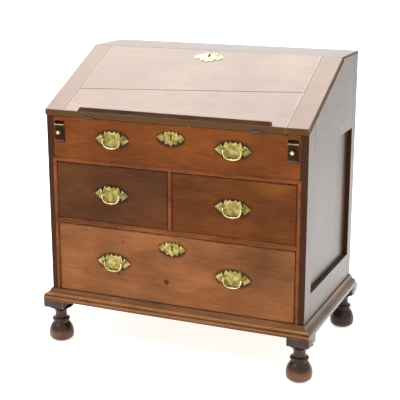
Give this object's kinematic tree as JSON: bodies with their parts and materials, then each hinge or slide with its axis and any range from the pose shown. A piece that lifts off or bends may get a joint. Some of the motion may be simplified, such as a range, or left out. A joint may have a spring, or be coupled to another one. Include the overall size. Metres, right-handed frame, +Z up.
{
  "type": "slant-front writing desk",
  "caption": "Slant-front writing desk on turned feet: sloping fall on lopers, bail-handled drawers, and a gallery and covered well inside.",
  "frame": {"origin": "on the floor, under the middle of the case", "axes": "+Z up; the front with the drawers faces -Y; +X is to the right of a person facing the front"},
  "size_m": [0.93, 0.576, 0.963],
  "materials": {
    "case_oak": "waxed brown oak, worn along the edges",
    "front_oak": "waxed red-brown oak with open grain",
    "moulding_oak": "waxed brown oak, rubbed on its beads",
    "foot_oak": "dark oak, worn pale at the base",
    "loper_oak": "nearly black oak",
    "fall_oak": "pale polished oak with a thin inlaid line",
    "inner_oak": "matt brown oak",
    "raw_oak": "unpolished oak",
    "aged_brass": "engraved brass, dulled in the hollows",
    "hinge_steel": "old steel"
  },
  "bodies": {
    "case": {"left_front_stile": "case_oak", "right_front_stile": "case_oak", "back_stiles": "case_oak", "side_lower_rails": "case_oak", "left_upper_board": "case_oak", "right_upper_board": "case_oak", "side_panels": "case_oak", "top_board": "case_oak", "back_boards": "raw_oak", "bottom_board": "raw_oak", "frieze_board": "front_oak", "writing_board": "inner_oak", "upper_dustboard": "front_oak", "middle_dustboard": "front_oak", "drawer_divider": "front_oak", "opening_beads": "front_oak", "drawer_guides": "raw_oak", "loper_guides": "raw_oak", "base_moulding_front": "moulding_oak", "side_base_mouldings": "moulding_oak", "front_feet": "foot_oak", "back_feet": "foot_oak", "gallery_shelves": "inner_oak", "gallery_partitions": "inner_oak", "hinge_lower_leaves": "hinge_steel", "frieze_backplates": "aged_brass", "frieze_escutcheon": "aged_brass"},
    "fall": {"fall_board": "fall_oak", "fall_cleats": "fall_oak", "book_rest": "loper_oak", "fall_escutcheon": "aged_brass", "fall_lock": "aged_brass", "hinge_upper_leaves": "hinge_steel"},
    "fall_bolt": {"fall_lock_bolt": "hinge_steel"},
    "loper_left": {"left_loper": "loper_oak", "left_loper_knob": "aged_brass"},
    "loper_right": {"right_loper": "loper_oak", "right_loper_knob": "aged_brass"},
    "drawer_left": {"left_drawer_front": "front_oak", "left_drawer_box": "raw_oak", "left_drawer_backplate": "aged_brass"},
    "drawer_right": {"right_drawer_front": "front_oak", "right_drawer_box": "raw_oak", "right_drawer_backplate": "aged_brass"},
    "drawer_long": {"long_drawer_front": "front_oak", "long_drawer_box": "raw_oak", "long_drawer_backplates": "aged_brass", "long_drawer_escutcheon": "aged_brass", "long_drawer_lock": "aged_brass"},
    "drawer_bolt": {"long_drawer_bolt": "hinge_steel"},
    "bail_frieze_left": {"frieze_bail_left": "aged_brass"},
    "bail_frieze_right": {"frieze_bail_right": "aged_brass"},
    "bail_drawer_left": {"left_drawer_bail": "aged_brass"},
    "bail_drawer_right": {"right_drawer_bail": "aged_brass"},
    "bail_long_left": {"long_drawer_bail_left": "aged_brass"},
    "bail_long_right": {"long_drawer_bail_right": "aged_brass"},
    "small_drawer_left": {"left_small_drawer": "inner_oak"},
    "small_drawer_middle": {"middle_small_drawer": "inner_oak"},
    "small_drawer_right": {"right_small_drawer": "inner_oak"},
    "cover": {"well_cover": "inner_oak"}
  },
  "joints": [
    {"name": "fall_hinge", "type": "hinge", "parent": "case", "child": "fall", "pos_m": [0, -0.27, 0.7752], "axis": [1, 0, 0], "range_deg": [0, 153.81]},
    {"name": "fall_bolt_slide", "type": "slide", "parent": "fall", "child": "fall_bolt", "axis": [0, 0.8973, 0.4414], "range_m": [0, 0.008]},
    {"name": "loper_left_slide", "type": "slide", "parent": "case", "child": "loper_left", "axis": [0, -1, 0], "range_m": [0, 0.29]},
    {"name": "loper_right_slide", "type": "slide", "parent": "case", "child": "loper_right", "axis": [0, -1, 0], "range_m": [0, 0.29]},
    {"name": "drawer_left_slide", "type": "slide", "parent": "case", "child": "drawer_left", "axis": [0, -1, 0], "range_m": [0, 0.38]},
    {"name": "drawer_right_slide", "type": "slide", "parent": "case", "child": "drawer_right", "axis": [0, -1, 0], "range_m": [0, 0.38]},
    {"name": "drawer_long_slide", "type": "slide", "parent": "case", "child": "drawer_long", "axis": [0, -1, 0], "range_m": [0, 0.38]},
    {"name": "drawer_bolt_slide", "type": "slide", "parent": "drawer_long", "child": "drawer_bolt", "axis": [0, 0, 1], "range_m": [0, 0.008]},
    {"name": "bail_frieze_left_hinge", "type": "hinge", "parent": "case", "child": "bail_frieze_left", "pos_m": [-0.204, -0.274, 0.711], "axis": [-1, 0, 0], "range_deg": [0, 120]},
    {"name": "bail_frieze_right_hinge", "type": "hinge", "parent": "case", "child": "bail_frieze_right", "pos_m": [0.204, -0.274, 0.711], "axis": [-1, 0, 0], "range_deg": [0, 120]},
    {"name": "bail_drawer_left_hinge", "type": "hinge", "parent": "drawer_left", "child": "bail_drawer_left", "pos_m": [-0.2105, -0.273, 0.53105], "axis": [-1, 0, 0], "range_deg": [0, 120]},
    {"name": "bail_drawer_right_hinge", "type": "hinge", "parent": "drawer_right", "child": "bail_drawer_right", "pos_m": [0.2045, -0.273, 0.53105], "axis": [-1, 0, 0], "range_deg": [0, 120]},
    {"name": "bail_long_left_hinge", "type": "hinge", "parent": "drawer_long", "child": "bail_long_left", "pos_m": [-0.207, -0.273, 0.30495], "axis": [-1, 0, 0], "range_deg": [0, 120]},
    {"name": "bail_long_right_hinge", "type": "hinge", "parent": "drawer_long", "child": "bail_long_right", "pos_m": [0.207, -0.273, 0.30495], "axis": [-1, 0, 0], "range_deg": [0, 120]},
    {"name": "small_drawer_left_slide", "type": "slide", "parent": "case", "child": "small_drawer_left", "axis": [0, -1, 0], "range_m": [0, 0.13]},
    {"name": "small_drawer_middle_slide", "type": "slide", "parent": "case", "child": "small_drawer_middle", "axis": [0, -1, 0], "range_m": [0, 0.13]},
    {"name": "small_drawer_right_slide", "type": "slide", "parent": "case", "child": "small_drawer_right", "axis": [0, -1, 0], "range_m": [0, 0.13]},
    {"name": "cover_slide", "type": "slide", "parent": "case", "child": "cover", "axis": [0, 1, 0], "range_m": [0, 0.19]}
  ]
}
